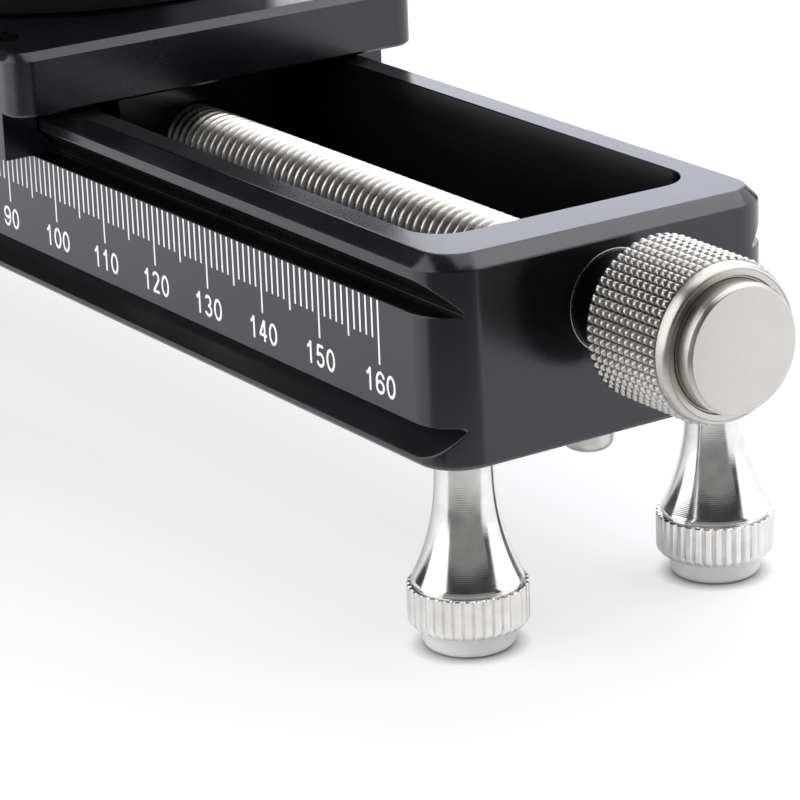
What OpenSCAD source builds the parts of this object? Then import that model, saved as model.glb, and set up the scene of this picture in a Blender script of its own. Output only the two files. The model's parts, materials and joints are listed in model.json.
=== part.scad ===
// Macro focusing rail: a milled frame with a dovetail down each side, a lead screw with a
// knob at either end, and a carriage that carries a panning quick-release clamp.
// Millimetres. +X runs along the rail, -Y is the side with the scale, +Z is up.
// The origin is the mouth of the middle tripod socket, on the underside of the frame.

/* [Rail frame] */
// Length of the milled frame
rail_l = 180; // [170:1:220]
// Width of the frame, which is also the width of a standard dovetail plate
rail_w = 38; // [37.5:0.5:40]
// Height of the frame
rail_h = 20; // [19.5:0.5:20]
// Radius of the four upright corners
corner_r = 4.5; // [3:0.5:6]
// Chamfer round the top
top_chamfer = 1.3; // [0.8:0.1:1.6]
// Chamfer round the underside
base_chamfer = 0.5; // [0.2:0.1:0.8]

/* [Dovetail grooves] */
// Depth of each groove
groove_depth = 2.8; // [2.4:0.1:2.9]
// Upright face of the lip under the lower groove
lip_h = 1; // [0.8:0.1:1.2]
// Height of the flat shoulder over the lower groove
lower_shoulder_z = 4.1; // [4:0.1:4.3]
// Height of the flat shoulder that carries the upper groove
upper_shoulder_z = 14.5; // [14.3:0.1:14.6]
// Upright flat at the root of a groove
groove_flat = 0.3; // [0.2:0.1:0.4]

/* [Window] */
// Thickness of the wall at each end of the window
end_wall = 6.9; // [6:0.1:8]
// Width of the window
window_w = 30; // [28:0.5:30.5]
// Radius of the corners of the window
window_r = 4; // [3:0.5:5]
// Thickness of the floor under the window
floor_t = 5; // [4.5:0.1:5.2]

/* [Lead screw] */
// Radius over the crests of the thread
screw_r = 4; // [3.5:0.1:4]
// Height of the axis above the underside
screw_z = 12.8; // [12.6:0.1:12.8]
// Radius of the plain ends that turn in the bushes
journal_r = 3; // [2.6:0.1:3.1]
// Radius of the bushes in the end walls
bush_r = 4.95; // [4.9:0.05:5.6]

/* [Focusing knobs] */
// Radius over the knurl
knob_r = 7.65; // [6.8:0.05:8]
// Length of the knurled band
knurl_l = 9.9; // [8:0.1:12]
// Length of the rounded shoulder in front of the knurl
shoulder_l = 1.3; // [1:0.1:2.5]
// Length of the black collar behind the knob
collar_l = 5.55; // [4.5:0.05:7]
// Radius of the black collar
collar_r = 4.85; // [4.4:0.05:5]
// Radius of the raised disc in the face of the knob
cap_r = 5.95; // [5.5:0.05:6.1]

/* [Feet] */
// Height that the feet hold the frame above the table
foot_h = 18; // [16:0.5:24]
// Radius of the neck under the frame
neck_r = 2.75; // [2.5:0.05:3.2]
// Radius at the bottom of the flare
flare_r = 5.25; // [5:0.05:5.5]
// Radius of the fluted grip ring
grip_r = 5.65; // [5.6:0.05:6.2]
// Radius of the pad
pad_r = 4.3; // [3.8:0.1:4.8]

/* [Carriage] */
// Where the middle of the carriage stands along the rail
carriage_x = -10; // [-50:1:50]
// Length of the top plate
plate_l = 66; // [62:1:72]
// Width of the top plate
plate_w = 48.6; // [48.2:0.1:54]
// Thickness of the top plate
plate_t = 6.55; // [6:0.05:8]
// Length of the guide strips that run in the upper grooves
cheek_l = 55; // [55:1:60]
// Length of the nut along the screw
nut_l = 12; // [8:1:16]
// Length of the block that holds the nut, which also sets how far the carriage runs
nut_block_l = 55; // [40:1:58]

/* [Panning base] */
// Radius of the round base
pan_r = 23; // [22:0.5:23]
// Height of the round base
pan_h = 8; // [8:0.5:10]

/* [Quick-release clamp] */
// Length of the clamp jaws
jaw_l = 54; // [50:1:60]
// Width of the dovetail plate that the clamp holds
grip_w = 38; // [38:0.5:40]
// Depth of the channel between the jaws
channel_d = 5.5; // [5:0.1:6]

/* [Hidden] */

$fn = 96;
cut = 1;                // how far a cutting shape runs past the face it opens
run_gap = 0.04;         // radial clearance of a shaft that turns in its bore
fit_gap = 0.02;         // radial clearance of a piece that is pressed or screwed in
slide_gap = 0.15;       // clearance between sliding dovetail faces
arc_steps = 8;          // points along a rounded edge of a turned profile

// Frame
groove_top_z = upper_shoulder_z + groove_flat + groove_depth;
window_l = rail_l - 2 * end_wall;
foot_x = rail_l / 2 - 3.95;
foot_y = rail_w / 2 - 4.7;
foot_hole_d = 7;
stud_x = rail_l / 2 - 4.5;
stud_r = 2.4;
stud_h = 2.4;
stud_round = 1;
stud_shank_r = 1.5;
stud_shank_l = 4;
quarter_socket_x = 25;
quarter_socket_r = 2.55;
middle_socket_r = 3.97;

// Lead screw and knobs
flange_r = 6.4;
flange_t = 1;
end_play = 0.1;
thread_end_x = window_l / 2 - flange_t - end_play;
collar_x = rail_l / 2 + 0.05;
knob_x = collar_x + collar_l;
knob_l = knurl_l + shoulder_l;
knob_edge = 0.5;
shoulder_drop = 0.8;
cap_seat = 2;
cap_proud = 1.8;
cap_round = 0.45;
head_r = 2.75;
head_h = 2;
m3_r = 1.5;
head_pocket_r = 3.2;
head_pocket_d = 3.1;
knob_web_t = 1.1;       // web in the knob that the screw head bears on
journal_end = knob_l - cap_seat - head_pocket_d - knob_web_t - 0.1;
knob_screw_l = 8;

// Feet
flare_h = 11.5;
grip_top = 11.85;
grip_bottom = 15.4;
pad_top = 15.8;
pad_round = 0.8;
pad_stem_r = 2.5;
pad_stem_l = 2;
flare_power = 2.4;
foot_stud_r = 2;
foot_stud_l = 6;
flare_steps = 16;

// Carriage
plate_z = rail_h + 0.45;
plate_top = plate_z + plate_t;
guide_base_z = upper_shoulder_z + 0.45;
guide_outer_y = rail_w / 2 + 4.1;
near_inner_y = rail_w / 2 + 0.25;
gib_back_y = rail_w / 2 + 0.9;
far_inner_y = gib_back_y + 0.05;
tongue_tip = groove_depth - 0.6;
bevel_gap = slide_gap * sqrt(2);
bevel_sum = groove_top_z - bevel_gap;
guide_screw_r = 1.25;
guide_screw_x = [14, 24];
guide_screw_y = rail_w / 2 + 2.4;
gib_screw_x = [10, 20];
gib_screw_z = guide_base_z + 1.4;
gib_screw_r = 1;
lock_z = guide_base_z + 1.95;
lock_tip_y = gib_back_y + 0.1;
side_knob_y = plate_w / 2 + 0.6;
carriage_lock_r = 6;
carriage_lock_l = 10;
pad_strip_w = 1.8;
pad_strip_y = (window_w / 2 + rail_w / 2 - top_chamfer) / 2;
pad_strip_t = 0.4;
nut_block_w = 19.2;
nut_block_z = floor_t + 0.6;
nut_r = 5.6;
nut_bore_r = screw_r + 0.5;
nut_end = carriage_x - nut_block_l / 2;
nut_screw_y = 7.4;
nut_screw_l = 15;

// Panning base and clamp
pan_top = plate_top + pan_h;
pan_edge = 0.6;
spigot_r = 8;
retainer_r = 10.5;
retainer_pocket_h = 1.6;
retainer_t = 1.35;
pan_screw_ring = 17;
clamp_z = pan_top + 0.4;
pan_lock_z = plate_top + 3.3;
pan_lock_r = 4.2;
pan_lock_l = 9;
clamp_edge = 1;
channel_z = clamp_z + 9.1;
clamp_top = channel_z + channel_d;
clamp_lip_h = 1.2;
clamp_bevel = 2.8;
grip_y = grip_w / 2 + 0.2;
body_end_y = -(grip_y - 0.5);
fixed_jaw_y = grip_y + 6.8;
jaw_outer_y = -(grip_y + 10);
clamp_screw_z = channel_z - 3.4;
clamp_screw_r = 2.5;
clamp_screw_in = 6;
ring_r = 3.9;
ring_t = 0.8;
ring_pocket_d = 1.8;
guide_pin_r = 2;
guide_pin_x = 18;
guide_pin_z = channel_z - 4.5;
guide_pin_in = 12;
washer_t = 0.3;
clamp_knob_r = 6.2;
clamp_cap_r = clamp_knob_r - 1.3;
clamp_knob_y = jaw_outer_y - washer_t - 0.1;
clamp_knurl_l = 9;
clamp_shoulder_l = 1.8;
pan_bolt_top = 37.5;
pan_bolt_r = 2.5;

// ---- helpers ----

// A quarter turn of an oval rounding, from the side of a turned piece to its end face
function rounding(r, z, drop, rise) =
    [for (i = [0:arc_steps]) [r - drop * (1 - cos(90 * i / arc_steps)),
                              z + rise * sin(90 * i / arc_steps)]];

// Radius of a foot's flare, t running from 0 at the neck to 1 at the bottom
function flare(t) = neck_r + (flare_r - neck_r) * pow(t, flare_power);

// A turned piece along +X or -X
module along_x(x, z, side = 1) {
    translate([x, 0, z]) rotate([0, 90 * side, 0]) children();
}

// A turned piece along +Y or -Y
module along_y(x, y, z, side = 1) {
    translate([x, y, z]) rotate([-90 * side, 0, 0]) children();
}

// A YZ outline carried along X, centred
module extrude_x(l) {
    translate([-l / 2, 0, 0]) rotate([90, 0, 90]) linear_extrude(l) children();
}

// An XZ outline carried along Y, centred
module extrude_y(l) {
    translate([0, l / 2, 0]) rotate([90, 0, 0]) linear_extrude(l) children();
}

// The upright section of a chamfered bar
module chamfered_section(w, h, top, base) {
    polygon([[-w / 2 + base, 0], [w / 2 - base, 0], [w / 2, base], [w / 2, h - top],
             [w / 2 - top, h], [-w / 2 + top, h], [-w / 2, h - top], [-w / 2, base]]);
}

// A block with round upright corners and chamfers round its top and underside
module chamfered_block(l, w, h, r, top, base) {
    extrude_x(l - 2 * r) chamfered_section(w, h, top, base);
    extrude_y(w - 2 * r) chamfered_section(l, h, top, base);
    for (x = [-1, 1], y = [-1, 1])
        translate([x * (l / 2 - r), y * (w / 2 - r), 0]) rotate_extrude()
            polygon([[0, 0], [r - base, 0], [r, base], [r, h - top], [r - top, h], [0, h]]);
}

// A flat rectangle with round corners
module round_rect(l, w, r) {
    square([l - 2 * r, w], center = true);
    square([l, w - 2 * r], center = true);
    for (x = [-1, 1], y = [-1, 1]) translate([x * (l / 2 - r), y * (w / 2 - r)]) circle(r);
}

// Countersunk screw, head up, with the top of its head at z = 0
module flat_head_screw(r, l) {
    rotate_extrude() polygon([[0, -l], [r, -l], [r, -r], [2 * r, 0], [0, 0]]);
}

// The hole that a countersunk screw sits in
module countersink(r, l) {
    rotate_extrude()
        polygon([[0, -l], [r + fit_gap, -l], [r + fit_gap, -r], [2 * r + fit_gap, 0],
                 [2 * r + fit_gap, cut], [0, cut]]);
}

// Button-head screw, its head standing on z = 0 and its shank below
module button_screw(r, l) {
    rotate_extrude()
        polygon(concat([[0, -l], [r, -l], [r, 0]], rounding(head_r, 0, 1, head_h),
                       [[0, head_h]]));
}

// ---- frame ----

// What the cutter takes out of the near side: the upper and the lower dovetail groove
module groove_section() {
    y = -rail_w / 2;
    polygon([[y - cut, upper_shoulder_z], [y + groove_depth, upper_shoulder_z],
             [y + groove_depth, upper_shoulder_z + groove_flat], [y - cut, groove_top_z + cut]]);
    polygon([[y - cut, lip_h - cut], [y + groove_depth, lip_h + groove_depth],
             [y + groove_depth, lower_shoulder_z], [y - cut, lower_shoulder_z]]);
}

module rail_body() {
    color("#26272b") difference() {
        chamfered_block(rail_l, rail_w, rail_h, corner_r, top_chamfer, base_chamfer);
        extrude_x(rail_l + 2 * cut) groove_section();
        mirror([0, 1, 0]) extrude_x(rail_l + 2 * cut) groove_section();
        translate([0, 0, floor_t]) linear_extrude(rail_h) round_rect(window_l, window_w, window_r);
        along_x(-rail_l / 2 - cut, screw_z) cylinder(r = bush_r + fit_gap, h = rail_l + 2 * cut);
        for (x = [-1, 1], y = [-1, 1]) translate([x * foot_x, y * foot_y, -cut])
            cylinder(r = foot_stud_r + fit_gap, h = foot_hole_d + cut);
        for (x = [-1, 1]) translate([x * stud_x, 0, -cut])
            cylinder(r = stud_shank_r + fit_gap, h = stud_shank_l + 0.5 + cut);
        translate([0, 0, -cut]) cylinder(r = middle_socket_r, h = floor_t + 2 * cut);
        for (x = [-1, 1]) translate([x * quarter_socket_x, 0, -cut])
            cylinder(r = quarter_socket_r, h = floor_t + 2 * cut);
    }
}

// Flanged bush in one end wall, a steel shell lined with bronze, its flange inside the window
module bush(side) {
    color("#c6c4bf") along_x(side * (window_l / 2 - flange_t), screw_z, side) rotate_extrude()
        polygon([[journal_r + run_gap, 0], [flange_r, 0], [flange_r, flange_t],
                 [bush_r, flange_t], [bush_r, flange_t + end_wall],
                 [journal_r + run_gap, flange_t + end_wall]]);
}

// Rounded studs under the ends of the frame, which stop it sliding out of a clamp
module stop_studs() {
    color("#c9c9c6") for (x = [-1, 1]) translate([x * stud_x, 0, 0]) mirror([0, 0, 1])
        rotate_extrude() polygon(concat([[0, -stud_shank_l], [stud_shank_r, -stud_shank_l],
            [stud_shank_r, 0]], [[stud_r, 0]],
            rounding(stud_r, stud_h - stud_round, stud_round, stud_round), [[0, stud_h]]));
}

// ---- feet ----

// Turned foot: stud, flared stem and grip ring, with a socket for its pad
module foot(x, y) {
    color("#cfcfcd") translate([x * foot_x, y * foot_y, 0]) mirror([0, 0, 1]) rotate_extrude()
        polygon(concat(
            [[0, -foot_stud_l], [foot_stud_r, -foot_stud_l], [foot_stud_r, 0]],
            [for (i = [0:flare_steps]) [flare(i / flare_steps), flare_h * i / flare_steps]],
            [[grip_r, grip_top], [grip_r, grip_bottom], [grip_r - 0.4, pad_top],
             [pad_stem_r + fit_gap, pad_top],
             [pad_stem_r + fit_gap, pad_top - pad_stem_l - fit_gap],
             [0, pad_top - pad_stem_l - fit_gap]]));
}

// Round pad pressed into the foot by a short stem
module foot_pad(x, y) {
    color("#b9b9b7") translate([x * foot_x, y * foot_y, 0]) mirror([0, 0, 1]) rotate_extrude()
        polygon(concat([[0, pad_top - pad_stem_l], [pad_stem_r, pad_top - pad_stem_l],
            [pad_stem_r, pad_top], [pad_r, pad_top]],
            rounding(pad_r, foot_h - pad_round, pad_round, pad_round), [[0, foot_h]]));
}

// ---- lead screw and focusing knobs ----

// Thread between two plain journals, tapped at both ends for the knob screws
module lead_screw() {
    journal_l = knob_x + journal_end;
    color("#c4c2bd") difference() {
        union() {
            along_x(-thread_end_x, screw_z) cylinder(r = screw_r, h = 2 * thread_end_x);
            along_x(-journal_l, screw_z) cylinder(r = journal_r, h = 2 * journal_l);
        }
        for (side = [-1, 1]) along_x(side * (journal_l - knob_screw_l - 1), screw_z, side)
            cylinder(r = m3_r + fit_gap, h = knob_screw_l + 1 + cut);
    }
}

module collar(side) {
    color("#1b1b1c") along_x(side * collar_x, screw_z, side) rotate_extrude()
        polygon([[journal_r + fit_gap, 0], [collar_r, 0], [collar_r, collar_l],
                 [journal_r + fit_gap, collar_l]]);
}

// Turned knob along +Z: knurled band, rounded shoulder, seat for the cap, and a bore of the
// given depth. inner is the outline between the seat and the bore, from the outside in
module knob_shell(r, band, shoulder, bore, bore_d, seat_r, inner) {
    l = band + shoulder;
    rotate_extrude() polygon(concat(
        [[bore, 0], [r - knob_edge, 0], [r, knob_edge]],
        rounding(r, band, shoulder_drop, shoulder),
        [[seat_r + fit_gap, l], [seat_r + fit_gap, l - cap_seat]], inner,
        [[bore, bore_d]]));
}

// Raised disc that covers the screw in the face of a knob
module cap_disc(r) {
    rotate_extrude() polygon(concat([[0, 0], [r, 0]],
        rounding(r, cap_seat + cap_proud - cap_round, cap_round, cap_round),
        [[0, cap_seat + cap_proud]]));
}

module focus_knob(side) {
    pocket_z = knob_l - cap_seat - head_pocket_d;
    color("#b7b5b0") along_x(side * knob_x, screw_z, side)
        knob_shell(knob_r, knurl_l, shoulder_l, journal_r + fit_gap, pocket_z - knob_web_t, cap_r,
                   [[head_pocket_r, knob_l - cap_seat], [head_pocket_r, pocket_z],
                    [m3_r + 0.1, pocket_z], [m3_r + 0.1, pocket_z - knob_web_t]]);
}

module focus_knob_cap(side) {
    color("#bdbbb6") along_x(side * (knob_x + knob_l - cap_seat), screw_z, side) cap_disc(cap_r);
}

module knob_screws() {
    color("#8d8d8b") for (side = [-1, 1])
        along_x(side * (knob_x + knob_l - cap_seat - head_pocket_d), screw_z, side)
            button_screw(m3_r, knob_screw_l);
}

// ---- carriage ----

module carriage_plate() {
    color("#20232c") translate([carriage_x, 0, 0]) difference() {
        translate([0, 0, plate_z]) chamfered_block(plate_l, plate_w, plate_t, 2.5, 0.8, 0.3);
        for (x = guide_screw_x, sx = [-1, 1], sy = [-1, 1])
            translate([sx * x, sy * guide_screw_y, plate_top])
                countersink(guide_screw_r, plate_t + cut);
        for (sy = [-1, 1]) translate([0, sy * nut_screw_y, plate_top])
            countersink(m3_r, plate_t + cut);
        for (a = [45:90:315]) rotate(a) translate([pan_screw_ring, 0, plate_top - 4])
            cylinder(r = m3_r + fit_gap, h = 4 + cut);
    }
}

// Section of the tongue that runs in the upper groove, on the near side. It reaches back to
// the upright face at back_y, and top_z is where that back meets the sloping face
module tongue_section(back_y, base_z) {
    face = -rail_w / 2;
    polygon([[-back_y, base_z], [face + tongue_tip, base_z],
             [face + tongue_tip, bevel_sum - tongue_tip],
             [-near_inner_y, bevel_sum + 0.25], [-back_y, bevel_sum + 0.25]]);
}

// Near guide strip, with its tongue in one piece
module guide_near() {
    color("#1e2129") translate([carriage_x, 0, 0]) difference() {
        extrude_x(cheek_l) union() {
            translate([-guide_outer_y, guide_base_z])
                square([guide_outer_y - near_inner_y, plate_z - guide_base_z]);
            tongue_section(near_inner_y + 0.5, guide_base_z);
        }
        for (x = guide_screw_x, sx = [-1, 1])
            translate([sx * x, -guide_screw_y, guide_base_z + 1])
                cylinder(r = guide_screw_r + fit_gap, h = plate_z - guide_base_z);
    }
}

// Far guide strip, which backs the loose gib and takes its screws and the lock
module guide_far() {
    color("#1e2129") translate([carriage_x, 0, 0]) difference() {
        translate([-cheek_l / 2, far_inner_y, guide_base_z])
            cube([cheek_l, guide_outer_y - far_inner_y, plate_z - guide_base_z]);
        for (x = guide_screw_x, sx = [-1, 1])
            translate([sx * x, guide_screw_y, guide_base_z + 1])
                cylinder(r = guide_screw_r + fit_gap, h = plate_z - guide_base_z);
        for (x = gib_screw_x, sx = [-1, 1])
            along_y(sx * x, far_inner_y - cut, gib_screw_z)
                cylinder(r = gib_screw_r + fit_gap, h = guide_outer_y);
        along_y(0, far_inner_y - cut, lock_z) cylinder(r = m3_r + run_gap, h = guide_outer_y);
    }
}

module guide_screws() {
    color("#17181a") for (x = guide_screw_x, sx = [-1, 1], sy = [-1, 1])
        translate([carriage_x + sx * x, sy * guide_screw_y, plate_top])
            flat_head_screw(guide_screw_r, plate_t + 3.8);
}

// Loose bronze strip between the far guide and the groove, pressed in to take up wear
module gib_strip() {
    color("#b08a4c") translate([carriage_x, 0, 0]) mirror([0, 1, 0]) extrude_x(cheek_l - 1)
        tongue_section(gib_back_y, guide_base_z + 0.1);
}

module gib_screws() {
    color("#2a2a2b") for (x = gib_screw_x, sx = [-1, 1])
        along_y(carriage_x + sx * x, gib_back_y + 0.02, gib_screw_z)
            cylinder(r = gib_screw_r, h = guide_outer_y - gib_back_y - 0.1);
}

// Two thin bearing strips between the plate and the top of the frame
module slide_pads() {
    color("#d8d6cf") for (sy = [-1, 1])
        translate([carriage_x - cheek_l / 2, sy * pad_strip_y - pad_strip_w / 2,
                   plate_z - pad_strip_t])
            cube([cheek_l, pad_strip_w, pad_strip_t]);
}

// Block that hangs from the plate into the window, with the nut pressed into its left end
module nut_block() {
    color("#232428") translate([carriage_x, 0, 0]) difference() {
        translate([0, 0, nut_block_z])
            extrude_x(nut_block_l) chamfered_section(nut_block_w, plate_z - nut_block_z, 0.2, 1);
        along_x(-nut_block_l / 2 - cut, screw_z) {
            cylinder(r = nut_r + fit_gap, h = nut_l + cut);
            cylinder(r = nut_bore_r, h = nut_block_l + 2 * cut);
        }
        for (sy = [-1, 1]) translate([0, sy * nut_screw_y, plate_top - nut_screw_l - 1])
            cylinder(r = m3_r + fit_gap, h = nut_screw_l);
    }
}

module lead_nut() {
    color("#b8924f") along_x(nut_end, screw_z) rotate_extrude()
        polygon([[screw_r + run_gap, 0], [nut_r, 0], [nut_r, nut_l], [screw_r + run_gap, nut_l]]);
}

module nut_block_screws() {
    color("#17181a") for (sy = [-1, 1])
        translate([carriage_x, sy * nut_screw_y, plate_top]) flat_head_screw(m3_r, nut_screw_l);
}

// Solid knob of a lock, along +Z, with a blind hole for its screw
module lock_knob(r, l) {
    rotate_extrude() polygon(concat(
        [[m3_r + fit_gap, 0], [r - knob_edge, 0], [r, knob_edge]],
        rounding(r, l - 1.4, shoulder_drop, 1.4),
        [[0, l], [0, l * 0.7], [m3_r + fit_gap, l * 0.7]]));
}

module carriage_lock_knob() {
    color("#b7b5b0") along_y(carriage_x, side_knob_y, lock_z)
        lock_knob(carriage_lock_r, carriage_lock_l);
}

module carriage_lock_screw() {
    color("#8d8d8b") along_y(carriage_x, lock_tip_y, lock_z)
        cylinder(r = m3_r, h = side_knob_y - lock_tip_y + carriage_lock_l * 0.7 - 0.1);
}

// ---- panning base ----

module pan_base() {
    color("#202125") translate([carriage_x, 0, 0]) difference() {
        translate([0, 0, plate_top]) rotate_extrude() polygon([
            [retainer_r + 0.5, 0], [pan_r - 0.3, 0], [pan_r, 0.3], [pan_r, pan_h - pan_edge],
            [pan_r - pan_edge, pan_h], [spigot_r + run_gap, pan_h],
            [spigot_r + run_gap, retainer_pocket_h], [retainer_r + 0.5, retainer_pocket_h]]);
        for (a = [45:90:315]) rotate(a) translate([pan_screw_ring, 0, pan_top])
            countersink(m3_r, pan_h + cut);
        along_y(0, -spigot_r + cut, pan_lock_z, -1) cylinder(r = m3_r + run_gap, h = pan_r);
    }
}

module pan_base_screws() {
    color("#17181a") translate([carriage_x, 0, 0]) for (a = [45:90:315])
        rotate(a) translate([pan_screw_ring, 0, pan_top]) flat_head_screw(m3_r, pan_h + 3.5);
}

module pan_lock_knob() {
    color("#b7b5b0") along_y(carriage_x, -side_knob_y, pan_lock_z, -1)
        lock_knob(pan_lock_r, pan_lock_l);
}

module pan_lock_screw() {
    color("#8d8d8b") along_y(carriage_x, -spigot_r - 0.15, pan_lock_z, -1)
        cylinder(r = m3_r, h = side_knob_y - spigot_r - 0.15 + pan_lock_l * 0.7 - 0.1);
}

// ---- quick-release clamp ----

// Section of the clamp body: channel floor and the fixed jaw, which hooks over the plate
module clamp_body_section() {
    polygon([[body_end_y, clamp_z], [fixed_jaw_y - clamp_edge, clamp_z],
             [fixed_jaw_y, clamp_z + clamp_edge], [fixed_jaw_y, clamp_top - clamp_edge],
             [fixed_jaw_y - clamp_edge, clamp_top], [grip_y - clamp_bevel, clamp_top],
             [grip_y - clamp_bevel, channel_z + clamp_lip_h + clamp_bevel],
             [grip_y, channel_z + clamp_lip_h], [grip_y, channel_z], [body_end_y, channel_z]]);
}

module clamp_body() {
    color("#202227") translate([carriage_x, 0, 0]) difference() {
        union() {
            extrude_x(jaw_l) clamp_body_section();
            translate([0, 0, plate_top + retainer_pocket_h - 0.05])
                cylinder(r = spigot_r, h = clamp_z - plate_top - retainer_pocket_h + 0.1);
        }
        translate([0, 0, plate_top]) cylinder(r = pan_bolt_r + fit_gap, h = pan_bolt_top - plate_top + 0.3);
        along_y(0, body_end_y - cut, clamp_screw_z)
            cylinder(r = clamp_screw_r + run_gap, h = -body_end_y + cut + clamp_screw_in + 2);
        for (sx = [-1, 1]) along_y(sx * guide_pin_x, body_end_y - cut, guide_pin_z)
            cylinder(r = guide_pin_r + fit_gap, h = guide_pin_in + cut + 0.2);
    }
}

// Low-friction ring between the round base and the clamp
module pan_washer() {
    color("#d8d6cf") translate([carriage_x, 0, pan_top + 0.03]) rotate_extrude()
        polygon([[spigot_r + 4, 0], [pan_r - 3, 0], [pan_r - 3, 0.34], [spigot_r + 4, 0.34]]);
}

// Disc that holds the clamp's spigot down in the round base
module pan_retainer() {
    color("#8d8d8b") translate([carriage_x, 0, plate_top + retainer_pocket_h - 0.05 - retainer_t])
        rotate_extrude() polygon([[pan_bolt_r + 1.2 + fit_gap, 0], [retainer_r, 0],
            [retainer_r, retainer_t], [pan_bolt_r + fit_gap, retainer_t],
            [pan_bolt_r + fit_gap, 1.2]]);
}

module pan_bolt() {
    head_z = plate_top + retainer_pocket_h - 0.05 - retainer_t;
    color("#6f6f70") translate([carriage_x, 0, head_z]) rotate_extrude()
        polygon([[0, 0], [pan_bolt_r + 1.2, 0], [pan_bolt_r, 1.2],
                 [pan_bolt_r, pan_bolt_top - head_z], [0, pan_bolt_top - head_z]]);
}

// Two steel pins in the clamp body on which the loose jaw slides
module guide_pins() {
    color("#b9b9b8") for (sx = [-1, 1])
        along_y(carriage_x + sx * guide_pin_x, jaw_outer_y + 0.5, guide_pin_z)
            cylinder(r = guide_pin_r, h = body_end_y - jaw_outer_y - 0.5 + guide_pin_in);
}

module clamp_jaw_section() {
    inner = -grip_y;
    polygon([[jaw_outer_y + clamp_edge, clamp_z + 0.2], [inner, clamp_z + 0.2],
             [inner, channel_z + clamp_lip_h],
             [inner + clamp_bevel, channel_z + clamp_lip_h + clamp_bevel],
             [inner + clamp_bevel, clamp_top], [jaw_outer_y + clamp_edge, clamp_top],
             [jaw_outer_y, clamp_top - clamp_edge], [jaw_outer_y, clamp_z + 0.2 + clamp_edge]]);
}

module clamp_jaw() {
    color("#202227") translate([carriage_x, 0, 0]) difference() {
        extrude_x(jaw_l) clamp_jaw_section();
        along_y(0, jaw_outer_y - cut, clamp_screw_z)
            cylinder(r = clamp_screw_r + run_gap, h = 14);
        along_y(0, -grip_y - ring_pocket_d, clamp_screw_z)
            cylinder(r = ring_r + 0.3, h = ring_pocket_d + cut);
        for (sx = [-1, 1]) along_y(sx * guide_pin_x, jaw_outer_y - cut, guide_pin_z)
            cylinder(r = guide_pin_r + run_gap, h = 14);
    }
}

// Screw that draws the loose jaw in, held in the jaw by a ring
module clamp_screw() {
    color("#b9b9b8") along_y(carriage_x, clamp_knob_y - clamp_knurl_l * 0.6, clamp_screw_z)
        cylinder(r = clamp_screw_r, h = clamp_screw_in - clamp_knob_y + clamp_knurl_l * 0.6);
}

module clamp_screw_ring() {
    color("#8d8d8b") along_y(carriage_x, -grip_y - ring_pocket_d + 0.1, clamp_screw_z)
        rotate_extrude() translate([clamp_screw_r + fit_gap, 0])
            square([ring_r - clamp_screw_r - fit_gap, ring_t]);
}

module clamp_washer() {
    color("#c9c9c6") along_y(carriage_x, jaw_outer_y - washer_t - 0.05, clamp_screw_z)
        rotate_extrude() translate([clamp_screw_r + fit_gap, 0])
            square([2.4, washer_t]);
}

module clamp_knob() {
    color("#b7b5b0") along_y(carriage_x, clamp_knob_y, clamp_screw_z, -1)
        knob_shell(clamp_knob_r, clamp_knurl_l, clamp_shoulder_l, clamp_screw_r + fit_gap,
                   clamp_knurl_l * 0.6 + 0.1, clamp_cap_r,
                   [[0, clamp_knurl_l + clamp_shoulder_l - cap_seat],
                    [0, clamp_knurl_l * 0.6 + 0.1]]);
}

module clamp_knob_cap() {
    color("#bdbbb6")
        along_y(carriage_x, clamp_knob_y - clamp_knurl_l - clamp_shoulder_l + cap_seat,
                clamp_screw_z, -1)
            cap_disc(clamp_cap_r);
}

rail_body();
bush(1);  // bush_right
bush(-1);  // bush_left
stop_studs();
foot(1, -1);  // foot_near_right
foot(-1, -1);  // foot_near_left
foot(1, 1);  // foot_far_right
foot(-1, 1);  // foot_far_left
foot_pad(1, -1);  // pad_near_right
foot_pad(-1, -1);  // pad_near_left
foot_pad(1, 1);  // pad_far_right
foot_pad(-1, 1);  // pad_far_left
lead_screw();
collar(1);  // collar_right
collar(-1);  // collar_left
focus_knob(1);  // knob_right
focus_knob(-1);  // knob_left
focus_knob_cap(1);  // knob_cap_right
focus_knob_cap(-1);  // knob_cap_left
knob_screws();
carriage_plate();
guide_near();
guide_far();
guide_screws();
gib_strip();
gib_screws();
slide_pads();
nut_block();
lead_nut();
nut_block_screws();
carriage_lock_knob();
carriage_lock_screw();
pan_base();
pan_base_screws();
pan_lock_knob();
pan_lock_screw();
clamp_body();
pan_washer();
pan_retainer();
pan_bolt();
guide_pins();
clamp_jaw();
clamp_screw();
clamp_screw_ring();
clamp_washer();
clamp_knob();
clamp_knob_cap();
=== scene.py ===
import json
import math

import bmesh
import bpy
import numpy as np
from mathutils import Matrix, Vector

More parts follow.
